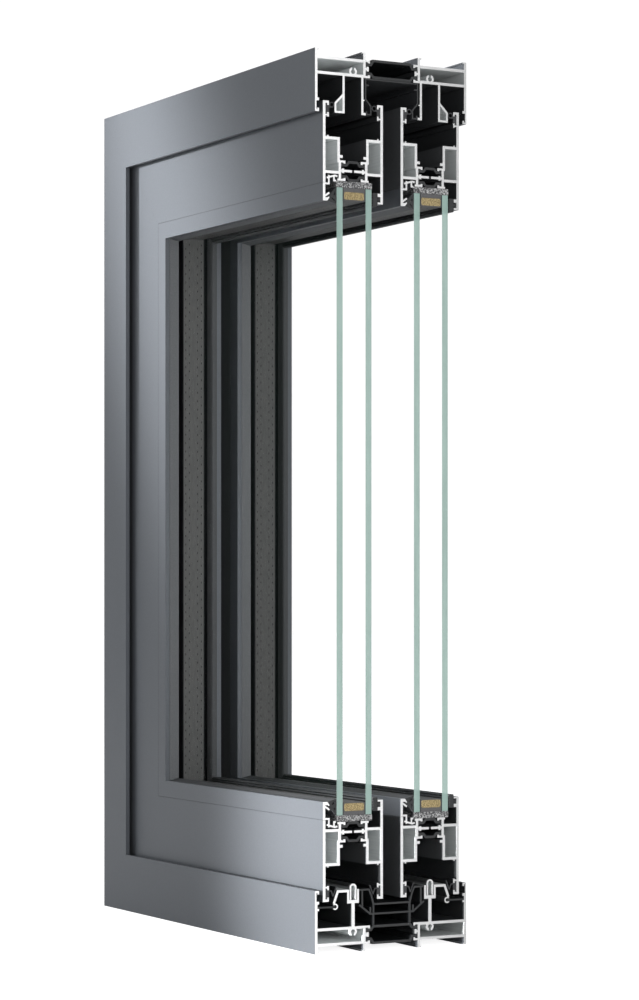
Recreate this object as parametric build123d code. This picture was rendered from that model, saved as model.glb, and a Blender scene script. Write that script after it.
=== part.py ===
from build123d import *
import os
from dataclasses import dataclass

# Cut-away corner sample of a two-track sliding window with thermally broken aluminium
# sections: head, jamb and sill of the frame, and two double-glazed sashes parked side by
# side at the jamb.  The right-hand end is sawn square, so every section lies open there.
# Millimetres.  X runs along the head, Y from the room side to the outside, Z is up.  The
# origin is at the middle of the footprint, on the tips of the sill's legs.

# Overall sizes
LENGTH = 365.0
FRAME_DEPTH = 128.0
HEIGHT = 654.0
FIT = 0.2
MITRE_GAP = 0.02
RING_SIDES = 24

# Frame halves: u is the depth from a face of the frame, v the distance from its outer edge
FACE_WALL = 2.0
FACE_WIDTH = 45.8
JAMB_FACE_WIDTH = 42.5
HALF_SETBACK = 4.9
LEG_HEIGHT = 5.5
LEG_HOOK = 1.2
HOOK_WALL = 1.0
TUBE_DEPTH = 13.1
PLATE_WALL = 2.0
PORT_RADIUS = 3.2
PORT_WALL = 1.5
PORT_MOUTH = 2.0
PORT_SINK = 1.5
FACE_LIP_REACH = 1.3
FACE_LIP_WALL = 1.3
FACE_LIP_RETURN = 2.5
FACE_NIB_FROM_END = 7.8
FACE_NIB_WALL = 2.0
FACE_GROOVE = 0.8

# Grooves and plastic strips of the thermal breaks, in the frame and in the sashes
PRONG_REACH = 3.6
PRONG_WALL = 1.5
PRONG_TIP = 0.7
FORK_REACH = 2.6
FORK_WALL = 1.7
FORK_SPREAD = 3.4
STRIP_WALL = 1.8
STRIP_HEAD = 2.6
STRIP_SLANT = 1.9
STRIP_PROUD = 0.8

# Fins of the head and jamb, and the noses that the sash seals close on
FIN_WALL = 1.7
NOSE_WALL = 1.5
NOSE_FIN_SETBACK = 7.5
NOSE_SLANT_ABOVE = 5.6
NOSE_SLANT_BELOW = 1.2
HOOK_FIN_SETBACK = 1.9
HOOK_FIN_BUMP = 1.1
HOOK_FIN_BUMP_ABOVE = 2.2
COVER_WALL = 1.1
COVER_LEG_SETBACK = 0.6
COVER_SLANT_ABOVE = 3.6
COVER_SLANT_BELOW = 1.4
COVER_NIB_REACH = 2.2
COVER_NIB_DROP = 4.5
COVER_CURL = 2.4

# Sill: web, trough with the rail cap, cover arm, cover strip and plastic centre channel
WEB_WALL = 2.6
TROUGH_FLOOR = 35.5
TROUGH_FLOOR_WALL = 2.4
TROUGH_WIDTH = 9.8
TROUGH_WALL = 1.6
TROUGH_HEIGHT = 10.0
RAIL_WIDTH = 5.6
RAIL_TOP = 49.7
RAIL_WALL = 1.3
ARM_WALL = 1.8
ARM_SETBACK = 12.3
ARM_FALL = 8.6
ARM_LEAN = 3.3
HOOK_RADIUS = 2.3
HOOK_MOUTH = 2.4
COVER_STRIP_LEVEL = 33.0
COVER_STRIP_WALL = 1.1
COVER_STRIP_NIB = 1.5
CHANNEL_WALL = 1.3
CHANNEL_INSET = 6.6
CHANNEL_LOW_RIB = 26.9
CHANNEL_HIGH_RIB = 33.9
CHANNEL_TOP = 44.8
CHANNEL_SHOULDER = 40.5
CHANNEL_LEAN = 1.8
CHANNEL_ARM_LEAN = 2.0
CHANNEL_TOE = 2.6
CHANNEL_STUB_RISE = 5.0

# Sash halves: u is the depth from a face of the sash, v the distance from its outer edge
SASH_SETBACK = 6.5
SASH_GAP = 15.0
RAIL_MARGIN = 37.6
STILE_MARGIN = 31.2
SASH_WIDTH = 72.2
SASH_WALL = 2.1
SEAL_LIP_WALL = 1.7
SEAL_LIP_REACH = 2.8
SEAL_TIP_WALL = 1.2
SEAL_TIP_DROP = 1.4
SEAL_SLOT = 8.0
SEAL_PRONG_WALL = 1.1
CHAMBER_START = 25.7
CHAMBER_WALL = 2.0
CHAMBER_SETBACK = 19.9
SASH_BREAK = 20.0
CHAMBER_STEP = 1.0
SASH_TUBE_SETBACK = 15.0
SASH_TUBE_DEPTH = 14.8
BAR_GAP = 1.8
ROLLER_NIB_DROP = 3.8
ROLLER_NIB_WALL = 2.0
ROLLER_NIB_REACH = 2.3
NUB = 1.0
NUB_SETBACK = 1.6

# Glazing
GLASS_FRONT = 11.3
GLASS_THICKNESS = 5.0
GLASS_REAR = 9.6
GLASS_COVER = 10.2
SEALANT_DEPTH = 2.4
SPACER_DEPTH = 6.7
SPACER_WALL = 0.6
SPACER_CORNER = 0.9
BUTYL = 0.7
BLOCK_LENGTH = 80.0
BLOCK_OVERHANG = 0.4

# Glazing beads and their gaskets
BEAD_WIDTH = 13.2
BEAD_WALL = 1.9
BEAD_ARM_WALL = 1.3
BEAD_CURL_REACH = 4.9
BEAD_FOOT_START = 3.1
BEAD_FOOT_LEVEL = 1.5
BEAD_FOOT_RISE = 1.4
BEAD_HEEL = 2.2
BEAD_FINGER = 4.4
BEAD_FINGER_CURL = 0.9
BEAD_LIP_WALL = 2.3
BEAD_LIP_TOP = 3.7
BEAD_LIP_SLANT = 2.2
BEAD_LIP_REACH = 5.3
BEAD_NIB_WALL = 1.0
BEAD_NIB_DROP = 2.9
BEAD_BRACE_DROP = 2.8
BEAD_BRACE_FALL = 3.0
GASKET_WALL = 0.9
GASKET_FOOT_WALL = 0.8
GASKET_FOOT_DROP = 3.5
GASKET_PROUD = 1.8
GASKET_LENGTH = 11.6
GASKET_SLIT_WIDTH = 0.9
GASKET_SLIT_REACH = 2.6
GASKET_HOLLOW_WIDTH = 1.6
GASKET_HOLLOW_DROP = 3.8
OUTER_GASKET_WALL = 3.4
OUTER_GASKET_NECK = 1.3
OUTER_GASKET_RIB = 1.0
OUTER_GASKET_RIBS = 5
OUTER_PRONG_DROP = 5.3
OUTER_PRONG_WALL = 2.4
OUTER_LIP_WALL = 1.3
OUTER_LIP_REACH = 2.3

# Seals of the sashes: bubbles at head and jamb, folded wipers at the sill
SEAL_REACH = 9.4
SEAL_BASE_WALL = 1.2
BUBBLE_RADIUS = 2.1
BUBBLE_WALL = 0.7
BUBBLE_SIDES = 16
BUBBLE_LEVEL = 2.7
WIPER_WALL = 0.8
WIPER_REACH = 8.3
WIPER_KNEE = 2.0
WIPER_FOLD_LEVEL = 3.6
WIPER_TIP_LEVEL = 10.4
WIPER_TIP_LEAN = 2.7

# Roller carriages, hidden in the sashes' bottom channels
CARRIAGE_LENGTH = 70.0
CARRIAGE_FROM_STILE = 55.0
CARRIAGE_CLEARANCE = 0.3
CARRIAGE_SKIRT = 1.0
WHEEL_HEADROOM = 7.3
WHEEL_RIM_WALL = 0.8
WHEEL_FLANGE = 1.6
WHEEL_SPACING = 34.0
WHEEL_SIDES = 32
AXLE_RADIUS = 2.5
AXLE_SIDES = 16

# Places that follow from the sizes above
LEFT = -LENGTH / 2
RIGHT = LENGTH / 2
SASH_DEPTH = (FRAME_DEPTH - SASH_GAP) / 2 - SASH_SETBACK
SASH_PITCH = SASH_DEPTH + SASH_GAP
RAIL_LINE = SASH_SETBACK + SASH_DEPTH / 2
TUBE_END = LEG_HEIGHT + TUBE_DEPTH
ARM_ELBOW = SASH_SETBACK + ARM_SETBACK
FRONT_NOSE = SASH_SETBACK + SEAL_REACH + FIT
REAR_NOSE = SASH_SETBACK + SASH_DEPTH - SEAL_REACH - FIT
HALF_DEPTH = REAR_NOSE - HALF_SETBACK
NOSE_FIN = FRONT_NOSE + NOSE_FIN_SETBACK
HOOK_FIN = HALF_DEPTH - HOOK_FIN_SETBACK - FIN_WALL / 2
CHAMBER_END = SASH_WIDTH - CHAMBER_SETBACK
SASH_TUBE_END = SASH_WIDTH - SASH_TUBE_SETBACK
SASH_TUBE_START = SASH_TUBE_END - SASH_TUBE_DEPTH
SASH_TUBE_MIDDLE = SASH_TUBE_END - SASH_TUBE_DEPTH / 2
INNER_WALL = (SASH_DEPTH - SASH_BREAK) / 2
CHAMBER_WIDTH = INNER_WALL - CHAMBER_STEP
BEAD_LINE = SASH_WIDTH - BEAD_WIDTH
GLASS_EDGE = SASH_WIDTH - GLASS_COVER
GLASS_BACK = SASH_DEPTH - GLASS_REAR
TROUGH_TOP = TROUGH_FLOOR + TROUGH_HEIGHT
ROLLER_NIB_LEVEL = SASH_TUBE_START - ROLLER_NIB_DROP
CARRIAGE_TOP = RAIL_MARGIN + ROLLER_NIB_LEVEL - CARRIAGE_CLEARANCE
WHEEL_FOOT = RAIL_TOP + CARRIAGE_CLEARANCE
WHEEL_RADIUS = (CARRIAGE_TOP - WHEEL_HEADROOM - WHEEL_FLANGE - WHEEL_FOOT) / 2


@dataclass
class Ring:
    """Three sides of a rectangle, open at the sawn end: outer edges and corner widths."""
    left: float
    middle: float
    low: float
    high: float
    stile_width: float
    rail_width: float


FRAME = Ring(LEFT, 0, 0, HEIGHT, JAMB_FACE_WIDTH, FACE_WIDTH)


def sash_ring(middle):
    """Outer edges of a sash whose middle plane lies at the given depth."""
    return Ring(LEFT + STILE_MARGIN, middle, RAIL_MARGIN, HEIGHT - RAIL_MARGIN, SASH_WIDTH, SASH_WIDTH)


def plate(u_start, u_end, v_start, v_end):
    """Rectangle of a section between two depths and two levels."""
    place = Pos((u_start + u_end) / 2, (v_start + v_end) / 2)
    return place * Rectangle(u_end - u_start, v_end - v_start)


def wall(points, thickness):
    """Bent plate of a section: a line of points with the plate's thickness about it."""
    spine = [Vector(*point) for point in points]
    normals = []
    for start, end in zip(spine, spine[1:]):
        run = (end - start).normalized()
        normals.append(Vector(-run.Y, run.X))
    offsets = [normals[0]]
    for before, after in zip(normals, normals[1:]):
        offsets.append((before + after) / (1 + before.dot(after)))
    offsets.append(normals[-1])
    half = thickness / 2
    upper = [point + offset * half for point, offset in zip(spine, offsets)]
    lower = [point - offset * half for point, offset in zip(spine, offsets)]
    outline = lower + upper[::-1]
    return Polygon(*[(point.X, point.Y) for point in outline], align=None)


def open_ring(centre, outer_radius, thickness, mouth):
    """Round hook of a section: a ring with a mouth cut through its wall."""
    ring = RegularPolygon(outer_radius, RING_SIDES) - RegularPolygon(outer_radius - thickness, RING_SIDES)
    return Pos(*centre) * (ring - mouth)


def mirrored(section, depth):
    """The same section seen from the other face of a member of the given depth."""
    return Pos(depth, 0) * mirror(section, about=Plane.YZ)


def join(pieces):
    """One face from the overlapping walls of a section."""
    return Sketch() + pieces


def bar(section, depth, side, ring):
    """Section run along one side of a ring and cut at the mitres."""
    planes = {
        "head": Plane((RIGHT, ring.middle, ring.high), x_dir=(0, 1, 0), z_dir=(-1, 0, 0)),
        "jamb": Plane((ring.left, ring.middle, ring.high), x_dir=(0, 1, 0), z_dir=(0, 0, -1)),
        "sill": Plane((ring.left, ring.middle, ring.low), x_dir=(0, 1, 0), z_dir=(1, 0, 0)),
    }
    runs = {"head": RIGHT - ring.left, "jamb": ring.high - ring.low, "sill": RIGHT - ring.left}
    solid = extrude(planes[side] * Pos(-depth / 2, 0) * section, amount=runs[side])
    high_mitre = Plane((ring.left, 0, ring.high), z_dir=(ring.rail_width, 0, ring.stile_width))
    low_mitre = Plane((ring.left, 0, ring.low), z_dir=(ring.rail_width, 0, -ring.stile_width))
    half_gap = MITRE_GAP / 2
    if side in ("head", "jamb"):
        solid = cut_at(solid, high_mitre, half_gap, side == "head")
    if side in ("sill", "jamb"):
        solid = cut_at(solid, low_mitre, half_gap, side == "sill")
    return solid


def cut_at(solid, mitre, half_gap, beyond):
    """The part of a bar that lies beyond a mitre plane, or before it."""
    if beyond:
        return split(solid, bisect_by=mitre.offset(half_gap), keep=Keep.TOP)
    return split(solid, bisect_by=mitre.offset(-half_gap), keep=Keep.BOTTOM)


def around(section, depth, ring):
    """Section run along all three sides of a ring, one solid a side."""
    return [bar(section, depth, side, ring) for side in ("head", "jamb", "sill")]


def strip_grooves(start, low, high):
    """Prongs and fork that grip two plastic strips on the inner face of a profile."""
    middle = (low + high) / 2
    end = start + PRONG_REACH
    tip = end - PRONG_WALL
    fork = start + FORK_REACH
    return [
        plate(start, end, low, low + PRONG_WALL),
        plate(tip, end, low, low + PRONG_WALL + PRONG_TIP),
        plate(start, end, high - PRONG_WALL, high),
        plate(tip, end, high - PRONG_WALL - PRONG_TIP, high),
        plate(start, fork, middle - FORK_WALL / 2, middle + FORK_WALL / 2),
        plate(fork - FORK_WALL, fork, middle - FORK_SPREAD / 2, middle + FORK_SPREAD / 2),
    ]


def strip_section(start, depth, seat, level):
    """Thermal strip between two profile halves: heads in the grooves, plate bowed outwards."""
    bend = start + PRONG_REACH + STRIP_WALL / 2
    flat = bend + STRIP_SLANT
    half = [(start + FIT, seat), (bend, seat), (flat, level)]
    spine = half + [(depth - u, v) for u, v in half[::-1]]
    head = plate(start + FIT, start + FIT + STRIP_WALL / 2, seat - STRIP_HEAD / 2, seat + STRIP_HEAD / 2)
    return join([wall(spine, STRIP_WALL), head, mirrored(head, depth)])


def strip_pair(start, depth, low, high, proud):
    """The two thermal strips that close a groove pair, the lower one proud of its edge."""
    flush = STRIP_WALL / 2
    seat = PRONG_WALL + PRONG_TIP + FIT + flush
    return [
        strip_section(start, depth, low + seat, low + flush - proud),
        strip_section(start, depth, high - seat, high - flush),
    ]


def frame_tube(face_width):
    """Face plate, legs, hollow tube, screw port and strip grooves of a frame half."""
    inner = HALF_DEPTH - PLATE_WALL
    inner_plate = TUBE_END - PLATE_WALL
    lip = FACE_WALL + FACE_LIP_REACH
    nib = face_width - FACE_NIB_FROM_END
    port = (RAIL_LINE, inner_plate + PORT_SINK - PORT_RADIUS)
    port_mouth = plate(-PORT_MOUTH / 2, PORT_MOUTH / 2, -2 * PORT_RADIUS, 0)
    face = plate(0, FACE_WALL, 0, face_width)
    face -= plate(FACE_WALL - FACE_GROOVE, lip, nib, face_width - FACE_LIP_WALL)
    return [
        face,
        plate(0, FACE_WALL + LEG_HOOK, 0, HOOK_WALL),
        plate(inner, HALF_DEPTH, 0, TUBE_END),
        plate(inner - LEG_HOOK, HALF_DEPTH, 0, HOOK_WALL),
        plate(0, HALF_DEPTH, LEG_HEIGHT, LEG_HEIGHT + PLATE_WALL),
        plate(0, HALF_DEPTH, inner_plate, TUBE_END),
        open_ring(port, PORT_RADIUS, PORT_WALL, port_mouth),
        plate(0, lip, face_width - FACE_LIP_WALL, face_width),
        plate(FACE_WALL, lip, face_width - FACE_LIP_RETURN, face_width),
        plate(0, lip, nib - FACE_NIB_WALL, nib),
    ] + strip_grooves(HALF_DEPTH, LEG_HEIGHT, TUBE_END)


def finned_half(face_width, sash_margin):
    """Frame half of the head or jamb: a nosed fin and a hooked fin reach into the sash."""
    nose_line = FRONT_NOSE + NOSE_WALL / 2
    nose_end = face_width - NOSE_WALL / 2
    bump = sash_margin - HOOK_FIN_BUMP_ABOVE
    nose = [
        (NOSE_FIN, sash_margin - NOSE_SLANT_ABOVE),
        (nose_line, sash_margin + NOSE_SLANT_BELOW),
        (nose_line, nose_end),
        (NOSE_FIN, nose_end),
    ]
    fin_half = FIN_WALL / 2
    return join(frame_tube(face_width) + [
        plate(NOSE_FIN - fin_half, NOSE_FIN + fin_half, TUBE_END - PLATE_WALL, face_width),
        wall(nose, NOSE_WALL),
        plate(HOOK_FIN - fin_half, HOOK_FIN + fin_half, TUBE_END - PLATE_WALL, face_width),
        plate(HOOK_FIN, HOOK_FIN + fin_half + HOOK_FIN_BUMP, bump - FIN_WALL / 2, bump),
        plate(HOOK_FIN, HALF_DEPTH, face_width - FIN_WALL, face_width),
    ])


def centre_cover(face_width, sash_margin):
    """Plastic cover that hooks over the two inner fins of the head or jamb."""
    half = COVER_WALL / 2
    top = TUBE_END + FIT + half
    leg = HALF_DEPTH - COVER_LEG_SETBACK + half
    nose = REAR_NOSE - half
    foot = face_width - FIT - half
    edge = HALF_DEPTH + FIT + half
    side = [
        (leg, top),
        (leg, sash_margin - COVER_SLANT_ABOVE),
        (nose, sash_margin + COVER_SLANT_BELOW),
        (nose, foot),
        (edge, foot),
        (edge, foot - COVER_CURL),
    ]
    nib = top + COVER_NIB_DROP
    left = [wall(side, COVER_WALL), plate(leg, leg + half + COVER_NIB_REACH, nib - half, nib + half)]
    right = [mirrored(piece, FRAME_DEPTH) for piece in left]
    top_plate = plate(leg - half, FRAME_DEPTH - leg + half, top - half, top + half)
    return join(left + right + [top_plate])


def hook_centre():
    """Middle of the round hook at the foot of the sill's cover arm."""
    foot = ARM_ELBOW - ARM_LEAN
    level = TROUGH_TOP - ARM_WALL / 2 - ARM_FALL
    return (foot + HOOK_RADIUS / 2, level - HOOK_RADIUS)


def sill_half():
    """Frame half of the sill: web, trough for the rail cap and hooked cover arm."""
    low_side = RAIL_LINE - TROUGH_WIDTH / 2
    high_side = RAIL_LINE + TROUGH_WIDTH / 2
    arm_level = TROUGH_TOP - ARM_WALL / 2
    arm = [
        (low_side + TROUGH_WALL, arm_level),
        (ARM_ELBOW, arm_level),
        (ARM_ELBOW - ARM_LEAN, arm_level - ARM_FALL),
    ]
    hook_mouth = plate(-2 * HOOK_RADIUS, 0, -HOOK_MOUTH / 2, HOOK_MOUTH / 2)
    strip_seat = COVER_STRIP_LEVEL - FIT
    return join(frame_tube(FACE_WIDTH) + [
        plate(RAIL_LINE - WEB_WALL / 2, RAIL_LINE + WEB_WALL / 2, TUBE_END - PLATE_WALL, TROUGH_FLOOR),
        plate(low_side, high_side, TROUGH_FLOOR, TROUGH_FLOOR + TROUGH_FLOOR_WALL),
        plate(low_side, low_side + TROUGH_WALL, TROUGH_FLOOR, TROUGH_TOP),
        plate(high_side - TROUGH_WALL, high_side, TROUGH_FLOOR, TROUGH_TOP),
        wall(arm, ARM_WALL),
        open_ring(hook_centre(), HOOK_RADIUS, HOOK_WALL, hook_mouth),
        plate(0, FACE_WALL + FACE_LIP_REACH, strip_seat - COVER_STRIP_NIB, strip_seat),
    ])


def rail_cap():
    """Stainless running rail: a round-topped cap that stands in the trough."""
    seat = TROUGH_FLOOR + TROUGH_FLOOR_WALL + FIT
    half = RAIL_WIDTH / 2
    crown = RAIL_TOP - half
    outer = join([plate(-half, half, seat, crown), Pos(0, crown) * Circle(half)])
    bore = half - RAIL_WALL
    inner = join([plate(-bore, bore, seat - RAIL_WALL, crown), Pos(0, crown) * Circle(bore)])
    return Pos(RAIL_LINE, 0) * (outer - inner)


def sill_cover_strip():
    """Flat plastic strip between the face plate and the cover arm's hook."""
    start = FACE_WALL + FIT
    end = hook_centre()[0]
    return plate(start, end, COVER_STRIP_LEVEL, COVER_STRIP_LEVEL + COVER_STRIP_WALL)


def sill_channel():
    """Plastic channel between the two tracks: ribs, legs, sloped toes and arms."""
    half = CHANNEL_WALL / 2
    side = HALF_DEPTH + CHANNEL_INSET
    seat = TUBE_END + FIT
    shoulder = side - CHANNEL_LEAN
    corner = shoulder - CHANNEL_ARM_LEAN
    toe = RAIL_LINE + TROUGH_WIDTH / 2 + FIT
    ledge = toe + CHANNEL_TOE
    toe_level = TROUGH_FLOOR - FIT - CHANNEL_WALL
    side_wall = [
        (side, seat),
        (side, CHANNEL_HIGH_RIB),
        (shoulder, CHANNEL_SHOULDER),
        (corner, CHANNEL_TOP),
        (toe, CHANNEL_TOP),
    ]
    toe_plate = [(toe, toe_level), (side - CHANNEL_TOE, CHANNEL_LOW_RIB)]
    stub = side - CHANNEL_TOE
    left = [
        wall(side_wall, CHANNEL_WALL),
        plate(ledge - half, ledge + half, toe_level - CHANNEL_TOE, CHANNEL_TOP),
        wall(toe_plate, CHANNEL_WALL),
        plate(stub - half, stub + half, CHANNEL_LOW_RIB, CHANNEL_LOW_RIB + CHANNEL_STUB_RISE),
    ]
    right = [mirrored(piece, FRAME_DEPTH) for piece in left]
    far = FRAME_DEPTH - side
    ribs = [
        plate(stub - half, far + CHANNEL_TOE + half, CHANNEL_LOW_RIB - half, CHANNEL_LOW_RIB + half),
        plate(side, far, CHANNEL_HIGH_RIB - half, CHANNEL_HIGH_RIB + half),
    ]
    return join(left + right + ribs)


def sash_half(wall_end):
    """Sash half: face wall, seal slot, hollow chamber and strip grooves."""
    tip_start = SASH_WALL + SEAL_LIP_REACH - SEAL_TIP_WALL
    lip_end = SASH_WALL + SEAL_LIP_REACH
    slot_end = SEAL_LIP_WALL + SEAL_SLOT
    prong_end = slot_end + SEAL_PRONG_WALL
    bar_end = (SASH_DEPTH - BAR_GAP) / 2
    nub = SASH_WALL + NUB_SETBACK
    return [
        plate(0, SASH_WALL, 0, wall_end),
        plate(0, lip_end, 0, SEAL_LIP_WALL),
        plate(tip_start, lip_end, 0, SEAL_LIP_WALL + SEAL_TIP_DROP),
        plate(0, lip_end, slot_end, prong_end),
        plate(tip_start, lip_end, slot_end - SEAL_TIP_DROP, prong_end + SEAL_TIP_DROP / 2),
        plate(0, CHAMBER_WIDTH, CHAMBER_START, CHAMBER_START + CHAMBER_WALL),
        plate(0, INNER_WALL, CHAMBER_END - CHAMBER_WALL, CHAMBER_END),
        plate(CHAMBER_WIDTH - CHAMBER_WALL, CHAMBER_WIDTH, CHAMBER_START, SASH_TUBE_START + PRONG_WALL),
        plate(INNER_WALL - CHAMBER_WALL, INNER_WALL, SASH_TUBE_START, SASH_TUBE_END),
        plate(CHAMBER_WIDTH - CHAMBER_WALL, INNER_WALL, SASH_TUBE_END - PRONG_WALL, SASH_TUBE_END),
        plate(CHAMBER_WIDTH, CHAMBER_WIDTH + ROLLER_NIB_REACH, ROLLER_NIB_LEVEL,
              ROLLER_NIB_LEVEL + ROLLER_NIB_WALL),
        plate(INNER_WALL, bar_end, SASH_TUBE_MIDDLE - FORK_WALL / 2, SASH_TUBE_MIDDLE + FORK_WALL / 2),
        plate(nub, nub + NUB, CHAMBER_START - NUB, CHAMBER_START),
    ] + strip_grooves(INNER_WALL, SASH_TUBE_START, SASH_TUBE_END)


def sash_front():
    """Room-side half of a sash member; its wall stops where the bead begins."""
    return join(sash_half(BEAD_LINE))


def sash_rear():
    """Outer half of a sash member; its wall carries the groove of the outer gasket."""
    lip = SASH_WALL + OUTER_LIP_REACH
    prong = SASH_WIDTH - OUTER_PRONG_DROP
    section = join(sash_half(SASH_WIDTH) + [
        plate(0, lip, SASH_WIDTH - OUTER_LIP_WALL, SASH_WIDTH),
        plate(0, lip, prong - OUTER_PRONG_WALL, prong),
    ])
    return mirrored(section, SASH_DEPTH)


def bead():
    """Glazing bead: outer wall, curl and snap-in foot, and the groove of its gasket."""
    arm_half = BEAD_ARM_WALL / 2
    start = BEAD_LINE + FIT
    curl = start + arm_half
    foot_level = SASH_TUBE_END - BEAD_FOOT_LEVEL
    nose = CHAMBER_WIDTH - CHAMBER_WALL
    heel = nose - BEAD_HEEL
    heel_level = foot_level - BEAD_FOOT_RISE - arm_half
    snap = SASH_TUBE_END - PRONG_WALL - FIT - BEAD_ARM_WALL
    finger = heel_level + BEAD_FINGER
    foot = [(BEAD_FOOT_START, foot_level), (heel, heel_level), (nose, snap)]
    lip_low = SASH_WIDTH - BEAD_LIP_WALL
    brace_top = SASH_WIDTH - BEAD_BRACE_DROP
    nib_start = BEAD_LIP_REACH - BEAD_NIB_WALL
    nib_low = SASH_WIDTH - BEAD_NIB_DROP
    lip = [
        (0, lip_low),
        (nib_start, lip_low),
        (nib_start, nib_low),
        (BEAD_LIP_REACH, nib_low),
        (BEAD_LIP_REACH, SASH_WIDTH - BEAD_LIP_SLANT),
        (BEAD_LIP_TOP, SASH_WIDTH),
        (0, SASH_WIDTH),
    ]
    return join([
        plate(0, BEAD_WALL, start, SASH_WIDTH),
        wall([(BEAD_WALL / 2, curl), (BEAD_CURL_REACH, curl), (BEAD_CURL_REACH, heel_level)], BEAD_ARM_WALL),
        wall(foot, BEAD_ARM_WALL),
        plate(heel - BEAD_ARM_WALL, heel, heel_level, finger),
        plate(heel - BEAD_ARM_WALL, heel + BEAD_FINGER_CURL, finger - BEAD_ARM_WALL, finger),
        Polygon(*lip, align=None),
        wall([(BEAD_WALL / 2, brace_top), (BEAD_LIP_REACH, brace_top - BEAD_BRACE_FALL)], BEAD_ARM_WALL),
    ])


def bead_gasket():
    """Rubber wedge with a slit and a hollow, between a bead and the room-side pane."""
    glass = GLASS_FRONT - FIT
    inner = glass - GASKET_WALL
    top = SASH_WIDTH + GASKET_PROUD
    bottom = top - GASKET_LENGTH
    foot = SASH_WIDTH - GASKET_FOOT_DROP
    heel = foot - GASKET_FOOT_WALL
    knee = BEAD_LIP_REACH + FIT
    shoulder = SASH_WIDTH - BEAD_LIP_SLANT
    barb = BEAD_LIP_REACH - BEAD_NIB_WALL - GASKET_FOOT_WALL
    wedge = [
        (knee, heel),
        (inner, bottom),
        (glass, bottom),
        (glass, top),
        (inner, top),
        (BEAD_LIP_TOP + FIT, SASH_WIDTH),
        (knee, shoulder),
    ]
    slit = wall([(inner - GASKET_SLIT_REACH, shoulder), (inner - GASKET_SLIT_WIDTH / 2, SASH_WIDTH)],
                GASKET_SLIT_WIDTH)
    hollow = Polygon((inner - GASKET_HOLLOW_WIDTH, heel), (inner, heel - GASKET_HOLLOW_DROP), (inner, heel),
                     align=None)
    tongue = wall([(inner - GASKET_HOLLOW_WIDTH, foot), (barb + GASKET_FOOT_WALL, foot),
                   (barb, foot + GASKET_FOOT_WALL)], GASKET_FOOT_WALL)
    return join([Polygon(*wedge, align=None), tongue]) - slit - hollow


def outer_gasket():
    """Ribbed rubber between the outer pane and the sash's outer wall."""
    rear = SASH_DEPTH - SASH_WALL - OUTER_LIP_REACH - FIT
    front = rear - OUTER_GASKET_WALL
    top = SASH_WIDTH + GASKET_PROUD
    low = top - GASKET_LENGTH + GASKET_PROUD
    slot_low = SASH_WIDTH - OUTER_PRONG_DROP + FIT
    slot_high = SASH_WIDTH - OUTER_LIP_WALL - FIT
    neck = (slot_low + slot_high) / 2
    anchor = SASH_DEPTH - SASH_WALL - FIT
    pitch = (top - low) / OUTER_GASKET_RIBS
    ribs = []
    for index in range(OUTER_GASKET_RIBS):
        foot = low + pitch * index
        tip = (front - OUTER_GASKET_RIB, foot + pitch / 2)
        ribs.append(Polygon((front + FIT, foot), (front + FIT, foot + pitch), tip, align=None))
    return join(ribs + [
        plate(front, rear, low, top),
        plate(rear, anchor, neck - OUTER_GASKET_NECK / 2, neck + OUTER_GASKET_NECK / 2),
        plate(anchor - OUTER_GASKET_NECK, anchor, slot_low, slot_high),
    ])


def seal_base():
    """Foot of a sash seal, held in the slot of a sash wall."""
    start = SASH_WALL + FIT
    end = start + SEAL_BASE_WALL
    low = SEAL_LIP_WALL + FIT
    high = SEAL_LIP_WALL + SEAL_SLOT - FIT
    mouth_low = SEAL_LIP_WALL + SEAL_TIP_DROP + FIT
    mouth_high = SEAL_LIP_WALL + SEAL_SLOT - SEAL_TIP_DROP - FIT
    lip_end = SASH_WALL + SEAL_LIP_REACH
    return [plate(start, end, low, high), plate(start, lip_end + FIT, mouth_low, mouth_high)]


def bubble_seal():
    """Seal with a hollow bubble that closes on a nose of the head or jamb."""
    centre = Pos(SEAL_REACH - BUBBLE_RADIUS, BUBBLE_LEVEL)
    skin = RegularPolygon(BUBBLE_RADIUS, BUBBLE_SIDES)
    bubble = centre * (skin - RegularPolygon(BUBBLE_RADIUS - BUBBLE_WALL, BUBBLE_SIDES))
    lip_end = SASH_WALL + SEAL_LIP_REACH
    low = SEAL_LIP_WALL + SEAL_TIP_DROP + FIT
    bridge = plate(lip_end, SEAL_REACH - BUBBLE_RADIUS, BUBBLE_LEVEL + BUBBLE_RADIUS - BUBBLE_WALL,
                   BUBBLE_LEVEL + BUBBLE_RADIUS)
    stem = plate(lip_end, lip_end + BUBBLE_WALL, low, BUBBLE_LEVEL + BUBBLE_RADIUS)
    return join(seal_base() + [bubble, bridge, stem])


def wiper_seal():
    """Seal with a folded lip that wipes along the sill."""
    start = SASH_WALL + SEAL_LIP_REACH
    root = SEAL_LIP_WALL + SEAL_SLOT - SEAL_TIP_DROP - FIT - WIPER_WALL / 2
    lip = [
        (start, root),
        (start + WIPER_KNEE, root),
        (WIPER_REACH, WIPER_FOLD_LEVEL),
    ]
    fold = [(WIPER_REACH, WIPER_FOLD_LEVEL), (WIPER_REACH + WIPER_TIP_LEAN, WIPER_TIP_LEVEL)]
    return join(seal_base() + [wall(lip, WIPER_WALL), wall(fold, WIPER_WALL)])


def clear_of_jamb(solid):
    """The part of a sill seal that runs between the jamb's noses and the sawn end."""
    jamb_end = Plane((LEFT + JAMB_FACE_WIDTH + FIT, 0, 0), z_dir=(1, 0, 0))
    return split(solid, bisect_by=jamb_end, keep=Keep.TOP)


def glass_ring(ring):
    """Edges of the glazing inside a sash, with the spacer's width at the corners."""
    return Ring(ring.left + GLASS_EDGE, ring.middle, ring.low + GLASS_EDGE, ring.high - GLASS_EDGE,
                SPACER_DEPTH, SPACER_DEPTH)


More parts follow.
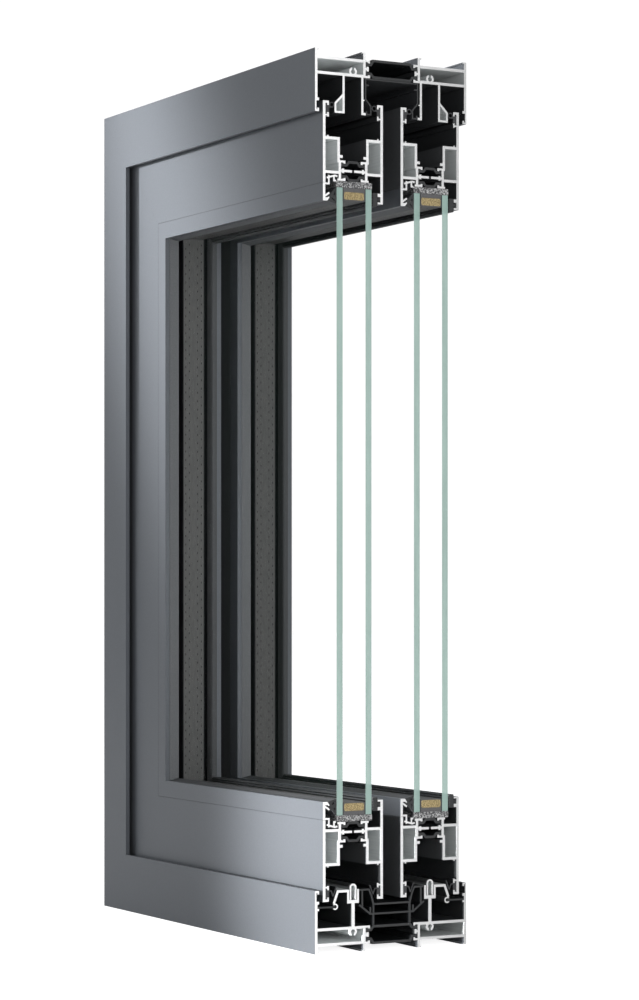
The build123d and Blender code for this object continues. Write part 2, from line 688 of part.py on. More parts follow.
def pane(ring, depth):
    """One sheet of glass, its front at the given depth of the sash."""
    edges = glass_ring(ring)
    start = ring.middle - SASH_DEPTH / 2 + depth
    size = (RIGHT - edges.left, GLASS_THICKNESS, edges.high - edges.low)
    centre = Pos((RIGHT + edges.left) / 2, start + GLASS_THICKNESS / 2, (edges.high + edges.low) / 2)
    return centre * Box(*size)


def glass_panes(ring):
    """The two sheets of the insulating unit."""
    return [pane(ring, GLASS_FRONT), pane(ring, GLASS_BACK - GLASS_THICKNESS)]


def spacer_hollow():
    """Inside of the spacer, its corners cut off; a granular drying fill takes all of it."""
    inset = BUTYL + SPACER_WALL
    start = GLASS_FRONT + GLASS_THICKNESS + inset
    end = GLASS_BACK - GLASS_THICKNESS - inset
    inside = plate(start, end, SEALANT_DEPTH + SPACER_WALL, SEALANT_DEPTH + SPACER_DEPTH - SPACER_WALL)
    return chamfer(inside.vertices(), SPACER_CORNER)


def spacer_tube():
    """Hollow metal spacer between the panes."""
    start = GLASS_FRONT + GLASS_THICKNESS + BUTYL
    end = GLASS_BACK - GLASS_THICKNESS - BUTYL
    return plate(start, end, SEALANT_DEPTH, SEALANT_DEPTH + SPACER_DEPTH) - spacer_hollow()


def edge_seals():
    """Sealant behind the spacer and a thin butyl line along each pane, as sections."""
    start = GLASS_FRONT + GLASS_THICKNESS
    end = GLASS_BACK - GLASS_THICKNESS
    high = SEALANT_DEPTH + SPACER_DEPTH
    return [
        plate(start + BUTYL, end - BUTYL, 0, SEALANT_DEPTH),
        plate(start, start + BUTYL, 0, high),
        plate(end - BUTYL, end, 0, high),
    ]


def setting_blocks(ring):
    """Packing blocks between the glazing and the rails, at the sawn end."""
    start = GLASS_FRONT - BLOCK_OVERHANG
    end = GLASS_BACK + BLOCK_OVERHANG
    section = plate(start, end, SASH_TUBE_END + FIT, GLASS_EDGE - FIT)
    blocks = []
    for side in ("head", "sill"):
        level = ring.high if side == "head" else ring.low
        along = -1 if side == "head" else 1
        origin = RIGHT if side == "head" else RIGHT - BLOCK_LENGTH
        place = Plane((origin, ring.middle, level), x_dir=(0, 1, 0), z_dir=(along, 0, 0))
        blocks.append(extrude(place * Pos(-SASH_DEPTH / 2, 0) * section, amount=BLOCK_LENGTH))
    return blocks


def disc(radius, sides, half_length):
    """Many-sided round bar about the Z axis, with its middle at the origin."""
    return extrude(RegularPolygon(radius, sides), amount=half_length, both=True)


def roller_carriage(ring):
    """Housing between the bottom rail's inner walls, with two grooved wheels on the rail."""
    half_width = SASH_DEPTH / 2 - CHAMBER_WIDTH - CARRIAGE_CLEARANCE
    axle_level = WHEEL_FOOT + WHEEL_RADIUS
    bore = AXLE_RADIUS + CARRIAGE_CLEARANCE
    floor = axle_level - bore - CARRIAGE_SKIRT
    rim = WHEEL_RADIUS + WHEEL_FLANGE
    middle = ring.left + SASH_WIDTH + CARRIAGE_FROM_STILE
    block = Box(CARRIAGE_LENGTH, 2 * half_width, CARRIAGE_TOP - floor)
    housing = Pos(middle, ring.middle, (CARRIAGE_TOP + floor) / 2) * block
    slot_length = WHEEL_SPACING + 2 * (rim + AXLE_RADIUS)
    slot_top = axle_level + rim + CARRIAGE_CLEARANCE
    tread = RAIL_WIDTH / 2 + CARRIAGE_CLEARANCE
    half_wheel = tread + WHEEL_RIM_WALL
    slot = Pos(middle, ring.middle, (slot_top + floor) / 2)
    housing -= slot * Box(slot_length, 2 * (half_wheel + CARRIAGE_CLEARANCE), slot_top - floor)
    wheel = disc(rim, WHEEL_SIDES, half_wheel)
    wheel -= disc(rim + WHEEL_FLANGE, WHEEL_SIDES, tread) - disc(WHEEL_RADIUS, WHEEL_SIDES, tread)
    wheel += disc(AXLE_RADIUS, AXLE_SIDES, half_width)
    axle_hole = disc(bore, AXLE_SIDES, SASH_DEPTH)
    wheels = []
    for end in (-1, 1):
        hub = Pos(middle + end * WHEEL_SPACING / 2, ring.middle, axle_level) * Rot(90, 0, 0)
        housing -= hub * axle_hole
        wheels.append(hub * wheel)
    return [housing] + wheels


def save(name, solids):
    """Write one named piece, or one set of like pieces."""
    shape = solids[0] if len(solids) == 1 else Compound(children=solids)
    export_step(shape, os.path.join("parts", name + ".step"))


def build_frame():
    """Head, jamb and sill with their covers, strips and rail caps."""
    head = finned_half(FACE_WIDTH, RAIL_MARGIN)
    jamb = finned_half(JAMB_FACE_WIDTH, STILE_MARGIN)
    sill = sill_half()
    for side, section in (("head", head), ("jamb", jamb), ("sill", sill)):
        save(side + "_front_profile", [bar(section, FRAME_DEPTH, side, FRAME)])
        save(side + "_rear_profile", [bar(mirrored(section, FRAME_DEPTH), FRAME_DEPTH, side, FRAME)])
    save("head_centre_cover", [bar(centre_cover(FACE_WIDTH, RAIL_MARGIN), FRAME_DEPTH, "head", FRAME)])
    save("jamb_centre_cover", [bar(centre_cover(JAMB_FACE_WIDTH, STILE_MARGIN), FRAME_DEPTH, "jamb", FRAME)])
    save("sill_centre_channel", [bar(sill_channel(), FRAME_DEPTH, "sill", FRAME)])
    strips = []
    for section in strip_pair(HALF_DEPTH, FRAME_DEPTH, LEG_HEIGHT, TUBE_END, STRIP_PROUD):
        strips += around(section, FRAME_DEPTH, FRAME)
    save("frame_thermal_strips", strips)
    for name, section in (("rail_caps", rail_cap()), ("sill_cover_strips", sill_cover_strip())):
        pair = [section, mirrored(section, FRAME_DEPTH)]
        save(name, [bar(half, FRAME_DEPTH, "sill", FRAME) for half in pair])


def build_sash(name, middle):
    """One sash: mitred rails and stile, glazing, beads, gaskets, seals and rollers."""
    ring = sash_ring(middle)
    glass = glass_ring(ring)
    members = {"head": "top_rail", "jamb": "stile", "sill": "bottom_rail"}
    halves = {"front": sash_front(), "rear": sash_rear()}
    for side, member in members.items():
        for half, section in halves.items():
            save(f"{name}_{member}_{half}", [bar(section, SASH_DEPTH, side, ring)])
    strips = []
    for section in strip_pair(INNER_WALL, SASH_DEPTH, SASH_TUBE_START, SASH_TUBE_END, 0):
        strips += around(section, SASH_DEPTH, ring)
    save(f"{name}_thermal_strips", strips)
    save(f"{name}_glazing_beads", around(bead(), SASH_DEPTH, ring))
    save(f"{name}_bead_gasket", around(bead_gasket(), SASH_DEPTH, ring))
    save(f"{name}_outer_gasket", around(outer_gasket(), SASH_DEPTH, ring))
    save(f"{name}_glass_panes", glass_panes(ring))
    save(f"{name}_spacer", around(spacer_tube(), SASH_DEPTH, glass))
    save(f"{name}_desiccant", around(spacer_hollow(), SASH_DEPTH, glass))
    seals = []
    for section in edge_seals():
        seals += around(section, SASH_DEPTH, glass)
    save(f"{name}_edge_sealant", seals)
    save(f"{name}_setting_blocks", setting_blocks(ring))
    weatherstrips = []
    for side, section in (("head", bubble_seal()), ("jamb", bubble_seal()), ("sill", wiper_seal())):
        for half in (section, mirrored(section, SASH_DEPTH)):
            seal = bar(half, SASH_DEPTH, side, ring)
            weatherstrips.append(clear_of_jamb(seal) if side == "sill" else seal)
    save(f"{name}_weatherstrips", weatherstrips)
    save(f"{name}_roller_carriage", roller_carriage(ring))


os.makedirs("parts", exist_ok=True)
build_frame()
build_sash("front_sash", -SASH_PITCH / 2)
build_sash("rear_sash", SASH_PITCH / 2)
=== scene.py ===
import math
import bpy
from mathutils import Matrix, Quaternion, Vector
from mathutils.bvhtree import BVHTree


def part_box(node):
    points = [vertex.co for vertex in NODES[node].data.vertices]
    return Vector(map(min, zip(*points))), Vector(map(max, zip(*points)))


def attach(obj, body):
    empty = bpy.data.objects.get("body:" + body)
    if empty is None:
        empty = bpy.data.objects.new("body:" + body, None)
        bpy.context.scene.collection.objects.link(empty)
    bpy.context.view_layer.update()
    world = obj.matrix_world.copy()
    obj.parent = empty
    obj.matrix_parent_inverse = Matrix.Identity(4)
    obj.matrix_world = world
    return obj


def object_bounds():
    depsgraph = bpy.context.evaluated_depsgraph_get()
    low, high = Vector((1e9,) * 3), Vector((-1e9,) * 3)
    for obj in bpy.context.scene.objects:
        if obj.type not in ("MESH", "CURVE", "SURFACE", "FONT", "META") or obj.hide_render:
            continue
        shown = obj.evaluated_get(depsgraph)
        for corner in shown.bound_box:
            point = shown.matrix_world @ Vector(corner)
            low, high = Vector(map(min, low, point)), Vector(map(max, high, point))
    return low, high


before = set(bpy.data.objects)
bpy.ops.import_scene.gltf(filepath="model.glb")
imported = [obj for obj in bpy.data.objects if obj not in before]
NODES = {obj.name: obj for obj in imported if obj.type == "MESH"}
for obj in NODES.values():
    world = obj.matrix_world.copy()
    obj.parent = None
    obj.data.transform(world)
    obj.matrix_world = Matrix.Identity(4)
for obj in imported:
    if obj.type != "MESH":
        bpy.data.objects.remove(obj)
CAD_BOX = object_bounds()
END = CAD_BOX[1][0]
MM = 0.001

# Places in the sections, in millimetres
BUTYL = 0.72
HALF_GAP = 7.5
SILL_TUBE_END = 18.6
SILL_ARM = 45.0
SILL_WALL = 58.0
SASH_MIDDLE = 32.5
SASH_TUBES = 16.0
WHEEL_HALF_WIDTH = 3.9
WHEEL_HEADROOM = 6.0
PLANE_NEAR = 0.05
GAP_NEAR = 0.2

# How faces are told apart: shares of a normal and of covered ways out, rays in degrees and millimetres
SQUARE = 0.99
FACING = 0.9
SLANTED = 0.2
ACROSS = 0.5
MOSTLY_COVERED = 0.8
HALF_COVERED = 0.5
RAY_ANGLES = range(2, 179, 4)
RAY_LIFT = 0.03
RAY_REACH = 90.0

# Material slots: every dressed node has the first two, and profiles have all five
SKIN, SAWN, OTHER, CHANNEL_SHADE, GAP_SHADE = range(5)

# Relief of the bumps, in metres, and its finest grain
BUMP_DEPTH = 0.0002
BUMP_DETAIL = 2.0


# Materials: every one is a Principled shader whose colour and roughness come from noise; the sawn and
# mill aluminium also carry painted shade
def socket_link(tree, source, target):
    tree.links.new(source, target)


def surface(name, dark, light, scale, rough, metallic=0.0, stretch=(1, 1, 1), bump=0.0,
            bump_scale=None, alpha=1.0, specular=0.5, contrast=(0.35, 0.65), detail=3.0, painted_falloff=1.0):
    """Material that wavers between two colours; its grain is in metres of the object.

    A painted_falloff below 1 paints shade into it: it darkens steadily from the room side to the
    outside.
    """
    mat = bpy.data.materials.new(name)
    mat.use_nodes = True
    tree = mat.node_tree
    shader = tree.nodes["Principled BSDF"]
    shader.inputs["Metallic"].default_value = metallic
    shader.inputs["Alpha"].default_value = alpha
    shader.inputs["Specular IOR Level"].default_value = specular
    place = tree.nodes.new("ShaderNodeTexCoord")
    mapping = tree.nodes.new("ShaderNodeMapping")
    mapping.inputs["Scale"].default_value = stretch
    socket_link(tree, place.outputs["Object"], mapping.inputs["Vector"])
    noise = tree.nodes.new("ShaderNodeTexNoise")
    noise.inputs["Scale"].default_value = scale
    noise.inputs["Detail"].default_value = detail
    socket_link(tree, mapping.outputs["Vector"], noise.inputs["Vector"])
    ramp = tree.nodes.new("ShaderNodeValToRGB")
    ramp.color_ramp.elements[0].position = contrast[0]
    ramp.color_ramp.elements[0].color = (*dark, 1)
    ramp.color_ramp.elements[1].position = contrast[1]
    ramp.color_ramp.elements[1].color = (*light, 1)
    socket_link(tree, noise.outputs["Fac"], ramp.inputs["Fac"])
    if painted_falloff == 1:
        socket_link(tree, ramp.outputs["Color"], shader.inputs["Base Color"])
    else:
        axes = tree.nodes.new("ShaderNodeSeparateXYZ")
        socket_link(tree, place.outputs["Object"], axes.inputs["Vector"])
        depth = tree.nodes.new("ShaderNodeMapRange")
        depth.inputs["From Min"].default_value = CAD_BOX[0][1]
        depth.inputs["From Max"].default_value = CAD_BOX[1][1]
        depth.inputs["To Min"].default_value = 1.0
        depth.inputs["To Max"].default_value = painted_falloff
        socket_link(tree, axes.outputs["Y"], depth.inputs["Value"])
        shade = tree.nodes.new("ShaderNodeVectorMath")
        shade.operation = "SCALE"
        socket_link(tree, ramp.outputs["Color"], shade.inputs[0])
        socket_link(tree, depth.outputs["Result"], shade.inputs["Scale"])
        socket_link(tree, shade.outputs["Vector"], shader.inputs["Base Color"])
    spread = tree.nodes.new("ShaderNodeMapRange")
    spread.inputs["To Min"].default_value = rough[0]
    spread.inputs["To Max"].default_value = rough[1]
    socket_link(tree, noise.outputs["Fac"], spread.inputs["Value"])
    socket_link(tree, spread.outputs["Result"], shader.inputs["Roughness"])
    if bump:
        relief = tree.nodes.new("ShaderNodeTexNoise")
        relief.inputs["Scale"].default_value = bump_scale or scale
        relief.inputs["Detail"].default_value = BUMP_DETAIL
        socket_link(tree, mapping.outputs["Vector"], relief.inputs["Vector"])
        bumps = tree.nodes.new("ShaderNodeBump")
        bumps.inputs["Strength"].default_value = bump
        bumps.inputs["Distance"].default_value = BUMP_DEPTH
        socket_link(tree, relief.outputs["Fac"], bumps.inputs["Height"])
        socket_link(tree, bumps.outputs["Normal"], shader.inputs["Normal"])
    return mat


PAINT = surface("grey_paint", (0.106, 0.115, 0.127), (0.122, 0.131, 0.145), 1400, (0.34, 0.44),
                metallic=0.25, bump=0.05, bump_scale=520)
# Sawn aluminium, with painted shade that darkens it from the room side to the outside
CUT = surface("sawn_aluminium", (0.80, 0.805, 0.805), (0.88, 0.88, 0.88), 600, (0.38, 0.55),
              metallic=0.1, stretch=(1, 0.15, 1.6), bump=0.10, bump_scale=1500, painted_falloff=0.55)
# Mill aluminium: real in closed hollows, painted light on the sill's track and under the rail caps;
# painted shade darkens it from the room side to the outside
MILL_AND_PAINTED_LIGHT = surface("mill_aluminium_and_painted_light", (0.75, 0.78, 0.78), (0.83, 0.86, 0.86), 900, (0.35, 0.5),
               stretch=(0.02, 1, 1), bump=0.06, painted_falloff=0.6)
# Painted shade: a near-black copy of the paint for faces deep in the channels
SHADED = surface("painted_channel_shade", (0.030, 0.032, 0.034), (0.042, 0.044, 0.046), 1400, (0.5, 0.6),
                 bump=0.05, bump_scale=520, specular=0.2)
# Painted shade: a darker copy of the paint for faces across the gap between the sashes and for tube
# walls in the sash channels
PAINTED_GAP_SHADE = surface("shaded_paint", (0.064, 0.067, 0.071), (0.077, 0.080, 0.084), 1400, (0.5, 0.6),
                    bump=0.05, bump_scale=520, specular=0.3)
PLASTIC = surface("black_plastic", (0.010, 0.011, 0.012), (0.016, 0.017, 0.018), 900, (0.42, 0.55),
                  bump=0.06, bump_scale=1800, specular=0.25)
COVER = surface("dark_plastic", (0.036, 0.038, 0.041), (0.044, 0.046, 0.049), 900, (0.45, 0.6),
                bump=0.06, bump_scale=1800, specular=0.2)
PLASTIC_CUT = surface("sawn_plastic", (0.028, 0.029, 0.030), (0.038, 0.039, 0.040), 1500, (0.5, 0.65),
                      bump=0.1, bump_scale=2500)
RUBBER = surface("black_rubber", (0.008, 0.008, 0.009), (0.014, 0.014, 0.015), 1200, (0.5, 0.68),
                 bump=0.1, bump_scale=2200)
RUBBER_CUT = surface("sawn_rubber", (0.030, 0.031, 0.033), (0.050, 0.051, 0.053), 1800, (0.6, 0.75),
                     bump=0.12, bump_scale=2600)
BEAD_RUBBER = surface("grey_rubber", (0.095, 0.099, 0.104), (0.115, 0.119, 0.124), 1200, (0.6, 0.75),
                      bump=0.08, bump_scale=2200, specular=0.3)
# Dark rubber: the outer gasket's own colour, and painted shade on the bead gasket's faces that look up
RIB_RUBBER_AND_SHADE = surface("dark_rubber_and_painted_shade", (0.055, 0.057, 0.060), (0.068, 0.070, 0.073), 1200, (0.6, 0.75),
                     bump=0.08, bump_scale=2200, specular=0.3)
GASKET_CUT = surface("sawn_gasket", (0.024, 0.025, 0.026), (0.038, 0.039, 0.040), 1800, (0.6, 0.75),
                     bump=0.12, bump_scale=2600)
GLASS = surface("clear_glass", (0.05, 0.08, 0.07), (0.06, 0.09, 0.08), 20, (0.02, 0.04), alpha=0.005)
GLASS_EDGE = surface("glass_edge", (0.235, 0.332, 0.300), (0.270, 0.372, 0.338), 260, (0.12, 0.25),
                     stretch=(1, 1, 0.06), alpha=0.92, bump=0.05, bump_scale=800)
SPACER = surface("spacer_bar", (0.077, 0.077, 0.076), (0.095, 0.095, 0.094), 700, (0.4, 0.55),
                 metallic=0.2, stretch=(1, 1, 0.2), bump=0.08, bump_scale=1500)
DRYING = surface("drying_beads", (0.16, 0.122, 0.056), (0.36, 0.285, 0.150), 1300, (0.7, 0.9),
                 bump=0.5, bump_scale=1500, contrast=(0.4, 0.6))
SEALANT = surface("edge_sealant", (0.075, 0.074, 0.076), (0.095, 0.094, 0.096), 800, (0.6, 0.75),
                  bump=0.12, bump_scale=1400)
PACKER = surface("packing_block", (0.04, 0.04, 0.042), (0.40, 0.40, 0.40), 900, (0.55, 0.75),
                 bump=0.4, bump_scale=900, contrast=(0.44, 0.64), detail=4.0)
STEEL = surface("stainless_rail", (0.42, 0.43, 0.44), (0.55, 0.56, 0.57), 900, (0.25, 0.36),
                metallic=0.9, stretch=(0.03, 1, 1), bump=0.04)
ROLLER = surface("roller_housing", (0.030, 0.031, 0.033), (0.042, 0.043, 0.045), 900, (0.45, 0.6),
                 bump=0.06)
TYRE = surface("roller_wheel", (0.62, 0.62, 0.60), (0.72, 0.72, 0.70), 700, (0.35, 0.5), bump=0.05)
DOT = surface("perforation", (0.012, 0.012, 0.012), (0.02, 0.02, 0.02), 2000, (0.7, 0.85))


# Which material each face of a CAD node gets
def corners(mesh):
    return [vertex.co for vertex in mesh.vertices]


def is_sawn(face):
    return face.normal.x > SQUARE and abs(face.center.x - END) < PLANE_NEAR * MM


def tree_of(meshes):
    """Search tree over all faces of some meshes."""
    points = []
    faces = []
    for mesh in meshes:
        first = len(points)
        points += corners(mesh)
        faces += [tuple(first + index for index in face.vertices) for face in mesh.polygons]
    return BVHTree.FromPolygons(points, faces)


def share_covered(face, tree, run):
    """Share of the ways out of a face, across its section, that meet something."""
    normal = Vector(face.normal)
    normal -= run * normal.dot(run)
    if normal.length < ACROSS:
        return 0.0
    normal.normalize()
    side = run.cross(normal)
    start = face.center + normal * RAY_LIFT * MM
    turns = [math.radians(angle) for angle in RAY_ANGLES]
    rays = [side * math.cos(turn) + normal * math.sin(turn) for turn in turns]
    return sum(tree.ray_cast(start, ray, RAY_REACH * MM)[0] is not None for ray in rays) / len(rays)


def dress(name, skin, cut):
    """Give a node its skin and its sawn end."""
    mesh = NODES[name].data
    mesh.materials.clear()
    mesh.materials.append(skin)
    mesh.materials.append(cut)
    for face in mesh.polygons:
        face.material_index = SAWN if is_sawn(face) else SKIN


def in_hollow(face, name):
    """Whether a face lies where its profile has closed hollows: the sill has them below its web."""
    return not name.startswith("sill") or face.center.z < SILL_TUBE_END * MM


def painted_lit_arm(face, name):
    """Whether a face is the top of the sill's track, which gets pale bare metal as painted light for the
    light it takes from the sawn end.
    """
    inside = face.center.z > SILL_ARM * MM and abs(face.center.y) < SILL_WALL * MM
    return name.startswith("sill") and face.normal.z > FACING and inside


def beside_tube(face, name):
    """Whether a face is a tube's wall in a sash's channel; it gets the gap's lighter painted shade, not
    the channel's, for the light it takes from the sawn end.
    """
    depth = abs(abs(face.center.y) - SASH_MIDDLE * MM)
    return "sash" in name and abs(face.normal.y) > FACING and depth < SASH_TUBES * MM


def in_gap(face):
    """Whether a face looks across the gap between the two sashes, where it gets painted shade."""
    return abs(face.normal.y) > FACING and abs(abs(face.center.y) - HALF_GAP * MM) < GAP_NEAR * MM


def dress_profile(name):
    """Paint outside; painted shade, in darker copies of the paint, in the channels and across the gap
    between the sashes; bare metal in closed hollows, and as painted light on the top of the sill's
    track.
    """
    mesh = NODES[name].data
    mesh.materials.clear()
    for mat in (PAINT, CUT, MILL_AND_PAINTED_LIGHT, SHADED, PAINTED_GAP_SHADE):
        mesh.materials.append(mat)
    run = Vector((0, 0, 1)) if "jamb" in name or "stile" in name else Vector((1, 0, 0))
    own = tree_of([mesh])
    for face in mesh.polygons:
        if is_sawn(face):
            face.material_index = SAWN
        elif in_gap(face):
            face.material_index = GAP_SHADE
        # Closed hollows get bare metal; the top of the sill's track gets it as painted light
        elif painted_lit_arm(face, name) or in_hollow(face, name) and share_covered(face, own, run) == 1:
            face.material_index = OTHER
        # Faces mostly covered by other parts get painted shade instead of paint
        elif share_covered(face, ALL_SOLIDS, run) > MOSTLY_COVERED:
            face.material_index = GAP_SHADE if beside_tube(face, name) else CHANNEL_SHADE
        else:
            face.material_index = SKIN


def dress_rails(name):
    """Steel outside; under the cap, pale bare metal as painted light."""
    dress(name, STEEL, CUT)
    mesh = NODES[name].data
    mesh.materials.append(MILL_AND_PAINTED_LIGHT)
    own = tree_of([mesh])
    for face in mesh.polygons:
        # Faces under the cap get pale metal as painted light
        if not is_sawn(face) and share_covered(face, own, Vector((1, 0, 0))) > HALF_COVERED:
            face.material_index = OTHER


def dress_glass(name):
    """Clear faces, green where the panes are sawn, black where the frame holds their edges."""
    NODES[name].visible_shadow = False
    dress(name, GLASS, GLASS_EDGE)
    mesh = NODES[name].data
    mesh.materials.append(RUBBER)
    for face in mesh.polygons:
        if abs(face.normal.y) < FACING and not is_sawn(face):
            face.material_index = OTHER


def dress_bead_gasket(name):
    """Grey rubber, darker on the bottom length, which looks up: the darker rubber there is painted
    shade.
    """
    dress(name, BEAD_RUBBER, GASKET_CUT)
    mesh = NODES[name].data
    mesh.materials.append(RIB_RUBBER_AND_SHADE)
    for face in mesh.polygons:
        # Faces that look up get the darker rubber as painted shade
        if face.normal.z > SLANTED and not is_sawn(face):
            face.material_index = OTHER


def dress_sealant(name):
    """Grey sealant, with black butyl in the thin lines along the panes."""
    dress(name, SEALANT, SEALANT)
    mesh = NODES[name].data
    mesh.materials.append(RUBBER)
    low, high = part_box(name)
    for face in mesh.polygons:
        if min(face.center.y - low.y, high.y - face.center.y) < BUTYL * MM:
            face.material_index = OTHER


def dress_rollers(name):
    """Dark housing, pale wheels: a wheel's faces lie near the middle of the carriage's depth."""
    dress(name, ROLLER, ROLLER)
    mesh = NODES[name].data
    mesh.materials.append(TYRE)
    low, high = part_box(name)
    middle = (low.y + high.y) / 2
    for face in mesh.polygons:
        below_top = face.center.z < high.z - WHEEL_HEADROOM * MM
        if below_top and abs(face.center.y - middle) < WHEEL_HALF_WIDTH * MM:
            face.material_index = OTHER


ALL_SOLIDS = tree_of([node.data for name, node in NODES.items() if not name.endswith("glass_panes")])
for name in NODES:
    if name.endswith("_profile") or "_rail_" in name or "_stile_" in name:
        dress_profile(name)
    elif name.endswith("glazing_beads"):
        dress(name, PAINT, CUT)
    elif name.endswith("glass_panes"):
        dress_glass(name)
    elif name.endswith("bead_gasket"):
        dress_bead_gasket(name)
    elif name.endswith("outer_gasket"):
        dress(name, RIB_RUBBER_AND_SHADE, GASKET_CUT)
    elif name.endswith("weatherstrips"):
        dress(name, RUBBER, RUBBER_CUT)
    elif name.endswith("spacer"):
        dress(name, SPACER, SPACER)
    elif name.endswith("desiccant"):
        dress(name, DRYING, DRYING)
    elif name.endswith("sealant"):
        dress_sealant(name)
    elif name.endswith("setting_blocks"):
        dress(name, PACKER, PACKER)
    elif name == "rail_caps":
        dress_rails(name)
    elif name.endswith("roller_carriage"):
        dress_rollers(name)
    elif name.endswith("centre_cover"):
        dress(name, COVER, PLASTIC_CUT)
    else:
        dress(name, PLASTIC, PLASTIC_CUT)


# Perforations of the spacers, in millimetres: rows of slits on the faces that look into the glazing
SLIT_ROWS = (1.7, 5.0, 12.3, 15.7)
SLIT_PITCH = 6.8
SLIT_LENGTH = 1.9
SLIT_WIDTH = 0.75
SLIT_CORNERS = 8
SPACER_DEPTH = 6.7
SLIT_LIFT = 0.04


def slits(name):
    """One mesh with all the slits of one sash's spacer."""
    low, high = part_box(name)
    inset = SPACER_DEPTH * MM
    lift = SLIT_LIFT * MM
    left = low.x + inset
    bottom = low.z + inset
    top = high.z - inset
    runs = (
        (Vector((left + lift, 0, bottom)), Vector((0, 0, 1)), top - bottom, Vector((1, 0, 0))),
        (Vector((left, 0, bottom + lift)), Vector((1, 0, 0)), high.x - left, Vector((0, 0, 1))),
        (Vector((left, 0, top - lift)), Vector((1, 0, 0)), high.x - left, Vector((0, 0, -1))),
    )
    verts = []
    faces = []
    for origin, along, length, out in runs:
        across = out.cross(along)
        for row, offset in enumerate(SLIT_ROWS):
            start = (1 + row % 2 / 2) * SLIT_PITCH * MM
            count = int((length - start - SLIT_LENGTH * MM) / (SLIT_PITCH * MM)) + 1
            for index in range(count):
                centre = origin + along * (start + index * SLIT_PITCH * MM)
                centre.y = low.y + offset * MM
                first = len(verts)
                for corner in range(SLIT_CORNERS):
                    turn = math.radians(360 / SLIT_CORNERS * (corner + 0.5))
                    end = along * math.cos(turn) * SLIT_LENGTH / 2
                    side = across * math.sin(turn) * SLIT_WIDTH / 2
                    verts.append(centre + (end + side) * MM)
                faces.append(list(range(first, first + SLIT_CORNERS)))
    mesh = bpy.data.meshes.new(name + "_slits")
    mesh.from_pydata(verts, [], faces)
    mesh.materials.append(DOT)
    piece = bpy.data.objects.new(name + "_slits", mesh)
    bpy.context.scene.collection.objects.link(piece)
    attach(piece, "root")


slits("front_sash_spacer")
slits("rear_sash_spacer")


# Stage: floor, backdrop light, lamps and camera, in metres
FLOOR_GREY = (0.80, 0.80, 0.80, 1)
FLOOR_GLOW = 0.86
FLOOR_REACH = 12.0
FLOOR_LEVEL = -0.2 * MM
SOFT_COLOUR = (0.96, 0.98, 1.0, 1)
SOFT_STRENGTH = 0.25
WHITE = (1, 1, 1, 1)
WHITE_STRENGTH = 1.05
SPOT_RADIUS = 0.04
CAMERA_PLACE = (2.0074, -1.0629, 0.2661)
CAMERA_AIM = (-0.87644, 0.48151, 0)
CAMERA_SENSOR = 36.0
CAMERA_LENS = 103.93
CAMERA_RISE = 0.0855
CAMERA_REACH = 60.0


def stage_floor():
    """Pale floor that reads as white to the camera and still takes a soft shadow."""
    mat = bpy.data.materials.new("pale_floor")
    mat.use_nodes = True
    tree = mat.node_tree
    tree.nodes.clear()
    out = tree.nodes.new("ShaderNodeOutputMaterial")
    matt = tree.nodes.new("ShaderNodeBsdfDiffuse")
    matt.inputs["Color"].default_value = FLOOR_GREY
    glow = tree.nodes.new("ShaderNodeEmission")
    glow.inputs["Strength"].default_value = FLOOR_GLOW
    both = tree.nodes.new("ShaderNodeAddShader")
    rays = tree.nodes.new("ShaderNodeLightPath")
    pick = tree.nodes.new("ShaderNodeMixShader")
    socket_link(tree, matt.outputs["BSDF"], both.inputs[0])
    socket_link(tree, glow.outputs["Emission"], both.inputs[1])
    socket_link(tree, rays.outputs["Is Camera Ray"], pick.inputs["Fac"])
    socket_link(tree, matt.outputs["BSDF"], pick.inputs[1])
    socket_link(tree, both.outputs["Shader"], pick.inputs[2])
    socket_link(tree, pick.outputs["Shader"], out.inputs["Surface"])
    mesh = bpy.data.meshes.new("floor")
    signs = ((-1, -1), (1, -1), (1, 1), (-1, 1))
    edge = [(x * FLOOR_REACH, y * FLOOR_REACH, FLOOR_LEVEL) for x, y in signs]
    mesh.from_pydata(edge, [], [list(range(len(edge)))])
    mesh.materials.append(mat)
    floor = bpy.data.objects.new("floor", mesh)
    bpy.context.scene.collection.objects.link(floor)


def stage_world():
    """White behind the object, softer grey for everything that lights it."""
    world = bpy.data.worlds.new("studio")
    bpy.context.scene.world = world
    world.use_nodes = True
    tree = world.node_tree
    tree.nodes.clear()
    out = tree.nodes.new("ShaderNodeOutputWorld")
    soft = tree.nodes.new("ShaderNodeBackground")
    soft.inputs["Color"].default_value = SOFT_COLOUR
    soft.inputs["Strength"].default_value = SOFT_STRENGTH
    white = tree.nodes.new("ShaderNodeBackground")
    white.inputs["Color"].default_value = WHITE
    white.inputs["Strength"].default_value = WHITE_STRENGTH
    rays = tree.nodes.new("ShaderNodeLightPath")
    pick = tree.nodes.new("ShaderNodeMixShader")
    socket_link(tree, rays.outputs["Is Camera Ray"], pick.inputs["Fac"])
    socket_link(tree, soft.outputs["Background"], pick.inputs[1])
    socket_link(tree, white.outputs["Background"], pick.inputs[2])
    socket_link(tree, pick.outputs["Shader"], out.inputs["Surface"])


def lamp(name, place, target, size, watts, mirrored=True):
    """Soft square lamp aimed at a point; a lamp that isn't mirrored leaves no highlights."""
    data = bpy.data.lights.new(name, "AREA")
    data.shape = "RECTANGLE"
    data.size, data.size_y = size
    data.energy = watts
    lamp_object = bpy.data.objects.new(name, data)
    lamp_object.location = place
    aim = Vector(target) - Vector(place)
    lamp_object.rotation_euler = aim.to_track_quat("-Z", "Y").to_euler()
    lamp_object.visible_camera = False
    lamp_object.visible_glossy = mirrored
    bpy.context.scene.collection.objects.link(lamp_object)


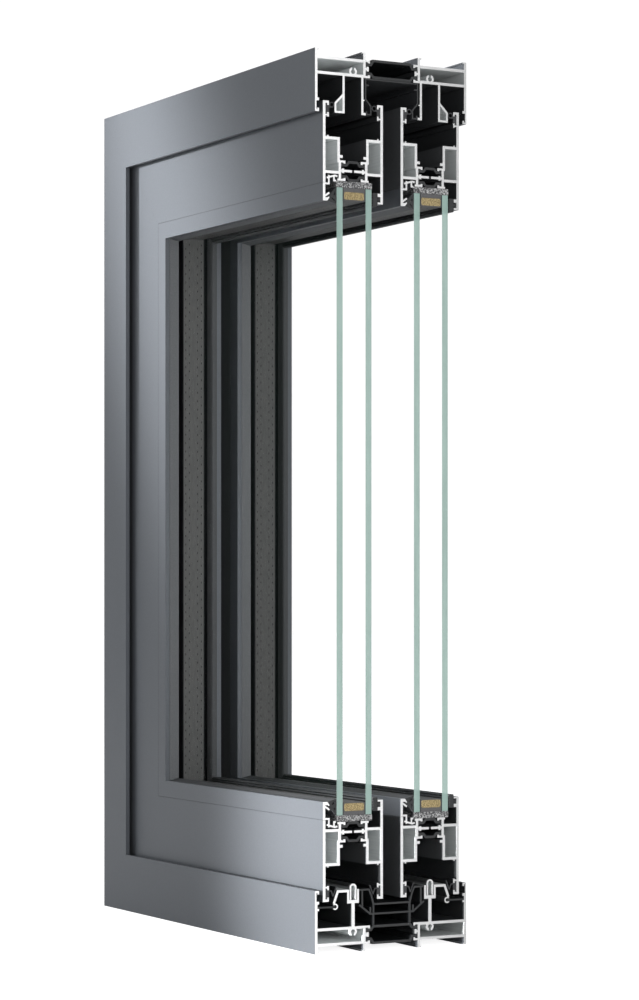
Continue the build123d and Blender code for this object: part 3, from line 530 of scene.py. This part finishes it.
def pool(name, place, target, reach, watts, narrow=1.0, lean=0.0):
    """Spot lamp that leaves a soft pool of light: its half-height, and how narrow and tilted it is."""
    data = bpy.data.lights.new(name, "SPOT")
    data.energy = watts
    data.shadow_soft_size = SPOT_RADIUS
    data.spot_blend = 1.0
    aim = Vector(target) - Vector(place)
    data.spot_size = 2 * math.atan(reach / aim.length)
    lamp_object = bpy.data.objects.new(name, data)
    lamp_object.location = place
    roll = Quaternion((0, 0, 1), math.radians(lean))
    lamp_object.rotation_euler = (aim.to_track_quat("-Z", "Y") @ roll).to_euler()
    lamp_object.scale = (narrow, 1, 1)
    lamp_object.visible_camera = False
    lamp_object.visible_glossy = False
    bpy.context.scene.collection.objects.link(lamp_object)


stage_floor()
stage_world()
lamp("sawn_end_lamp", (2.3, -0.4, 0.42), (0.18, 0.0, 0.33), (1.2, 1.2), 35, mirrored=False)
lamp("reveal_lamp", (2.4, 0.25, 0.4), (-0.08, 0.02, 0.33), (0.6, 0.6), 14, mirrored=False)
lamp("front_lamp", (-1.4, -1.4, 0.75), (-0.05, -0.06, 0.25), (1.0, 1.0), 27, mirrored=False)
lamp("back_lamp", (0.4, 2.4, 1.2), (0, 0.06, 0.33), (1.6, 1.6), 14)
pool("upper_corner_lamp", (-1.345, -0.75, 0.77), (-0.04, -0.06, 0.485), 0.45, 620, narrow=0.165, lean=12)
pool("lower_corner_lamp", (0.25, -1.25, 0.035), (0.20, -0.06, 0.06), 0.20, 190)

camera_data = bpy.data.cameras.new("camera")
camera_data.sensor_fit = "VERTICAL"
camera_data.sensor_height = CAMERA_SENSOR
camera_data.lens = CAMERA_LENS
camera_data.shift_y = CAMERA_RISE
camera_data.clip_end = CAMERA_REACH
camera = bpy.data.objects.new("camera", camera_data)
camera.location = CAMERA_PLACE
camera.rotation_euler = Vector(CAMERA_AIM).to_track_quat("-Z", "Y").to_euler()
bpy.context.scene.collection.objects.link(camera)
bpy.context.scene.camera = camera
bpy.context.scene.view_settings.view_transform = "Standard"
